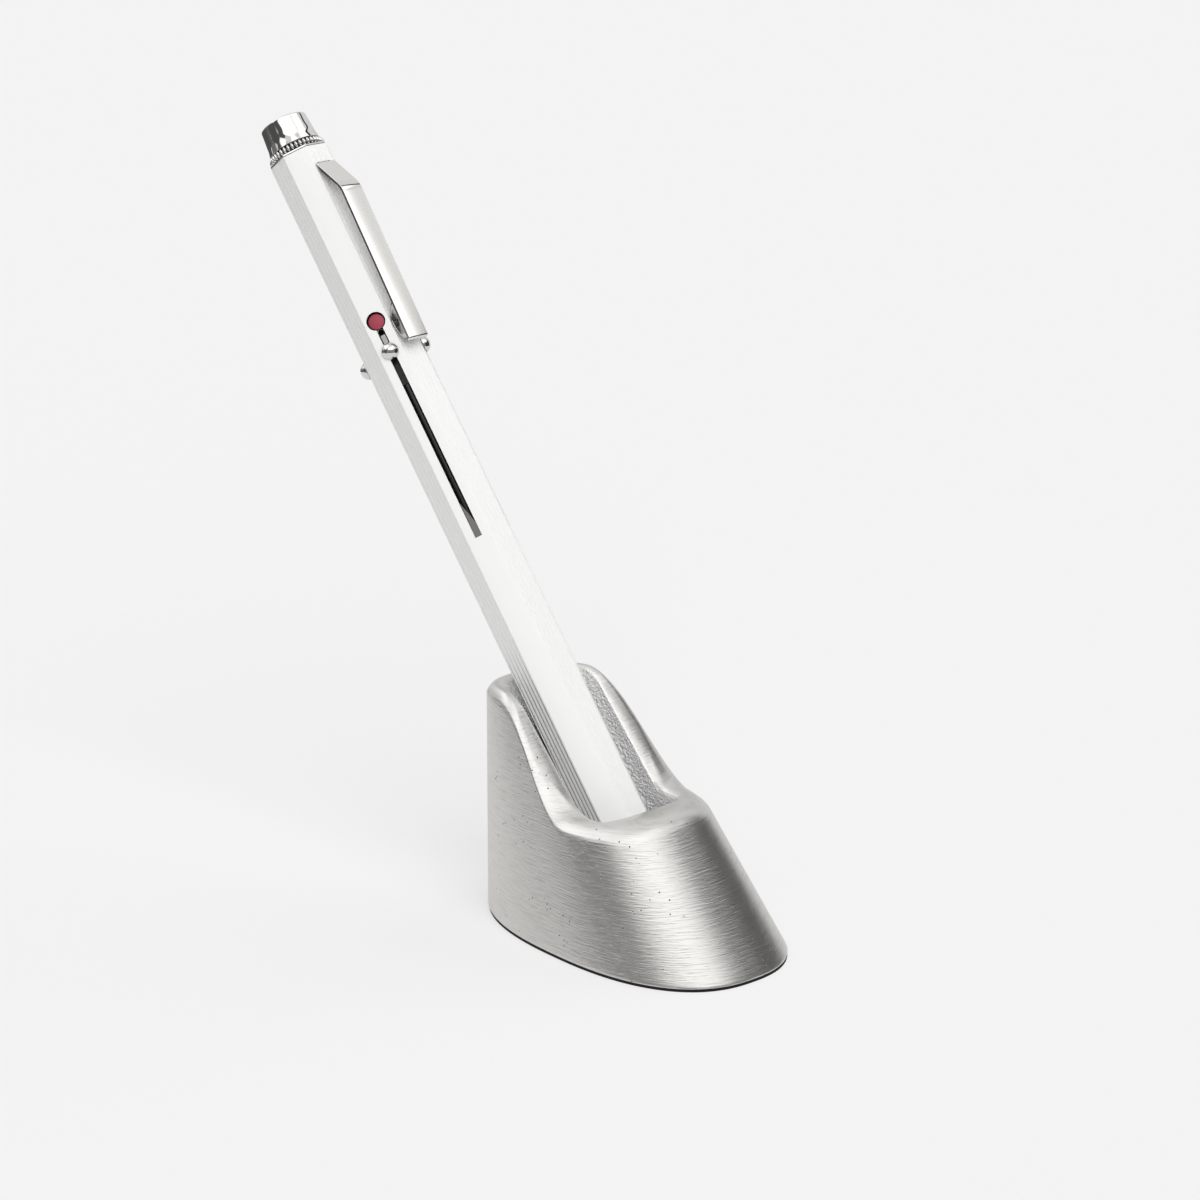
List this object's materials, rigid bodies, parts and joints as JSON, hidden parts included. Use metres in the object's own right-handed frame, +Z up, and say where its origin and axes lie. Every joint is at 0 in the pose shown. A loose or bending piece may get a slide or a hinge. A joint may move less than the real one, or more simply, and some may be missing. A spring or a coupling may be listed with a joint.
{
  "type": "pen rest",
  "caption": "Cast metal desk pen rest with a slanted well and an S-curved rim, holding a lift-out octagonal slide pen with domed knobs, spring clip, screw cap and screw nose.",
  "frame": {"origin": "middle of the foot oval, on the desk, at the underside of the pad", "axes": "+Z up; +Y is the way the pen leans back, -Y the low front lip; +X across the rest, to the right of someone who looks along +Y"},
  "size_m": [0.0344, 0.1174, 0.1163],
  "materials": {
    "cast_metal": "cast, then brushed across by hand, with fine pits; as-cast and pebbled inside the well",
    "pad_rubber": "thin matt black pad",
    "white_paint": "white enamel, satin gloss",
    "chrome": "polished chrome plate",
    "satin_steel": "polished edges, satin outer face",
    "inner_steel": "plain machined steel",
    "inner_plastic": "plain moulded plastic",
    "refill_tube": "dark refill tube",
    "marker_red": "matt red disc",
    "marker_blue": "matt blue disc",
    "marker_green": "matt green disc",
    "marker_black": "matt black disc"
  },
  "bodies": {
    "rest": {"rest_body": "cast_metal", "base_pad": "pad_rubber"},
    "pen": {"barrel": "white_paint", "cap_plate": "chrome", "refill_guide": "inner_plastic", "catch_block": "inner_steel", "spring_anchor": "inner_steel", "marker_red": "marker_red", "marker_blue": "marker_blue", "marker_green": "marker_green", "marker_black": "marker_black", "return_spring_red": "inner_steel", "return_spring_blue": "inner_steel", "return_spring_green": "inner_steel", "return_spring_black": "inner_steel"},
    "nose": {"nose_cone": "chrome"},
    "cap": {"cap": "chrome", "cap_ring": "chrome"},
    "clip": {"clip": "satin_steel"},
    "slider_red": {"knob_red": "chrome", "carriage_red": "inner_plastic", "refill_red": "refill_tube"},
    "slider_blue": {"knob_blue": "chrome", "carriage_blue": "inner_plastic", "refill_blue": "refill_tube"},
    "slider_green": {"knob_green": "chrome", "carriage_green": "inner_plastic", "refill_green": "refill_tube"},
    "slider_black": {"knob_black": "chrome", "carriage_black": "inner_plastic", "refill_black": "refill_tube"}
  },
  "joints": [
    {"name": "pen_lift", "type": "slide", "parent": "rest", "child": "pen", "axis": [0, 0.648, 0.7617], "range_m": [0, 0.046]},
    {"name": "push_red", "type": "slide", "parent": "pen", "child": "slider_red", "axis": [0, -0.648, -0.7617], "range_m": [0, 0.026], "stiffness_N_per_m": 30, "springref_m": -0.02, "deforming": ["return_spring_red"]},
    {"name": "push_blue", "type": "slide", "parent": "pen", "child": "slider_blue", "axis": [0, -0.648, -0.7617], "range_m": [0, 0.026], "stiffness_N_per_m": 30, "springref_m": -0.02, "deforming": ["return_spring_blue"]},
    {"name": "push_green", "type": "slide", "parent": "pen", "child": "slider_green", "axis": [0, -0.648, -0.7617], "range_m": [0, 0.026], "stiffness_N_per_m": 30, "springref_m": -0.02, "deforming": ["return_spring_green"]},
    {"name": "push_black", "type": "slide", "parent": "pen", "child": "slider_black", "axis": [0, -0.648, -0.7617], "range_m": [0, 0.026], "stiffness_N_per_m": 30, "springref_m": -0.02, "deforming": ["return_spring_black"]},
    {"name": "clip_flex", "type": "hinge", "parent": "pen", "child": "clip", "pos_m": [0.00024, 0.07693, 0.10873], "axis": [-0.9985, -0.0412, 0.035], "range_deg": [0, 5], "stiffness_Nm_per_rad": 0.8, "springref_deg": -2.86},
    {"name": "cap_unscrew", "type": "hinge", "parent": "pen", "child": "cap", "pos_m": [0, 0.08333, 0.10932], "axis": [0, 0.648, 0.7617], "range_deg": [0, 720]},
    {"name": "nose_unscrew", "type": "hinge", "parent": "pen", "child": "nose", "pos_m": [0, -0.00026, 0.01106], "axis": [0, -0.648, -0.7617], "range_deg": [0, 720]}
  ]
}
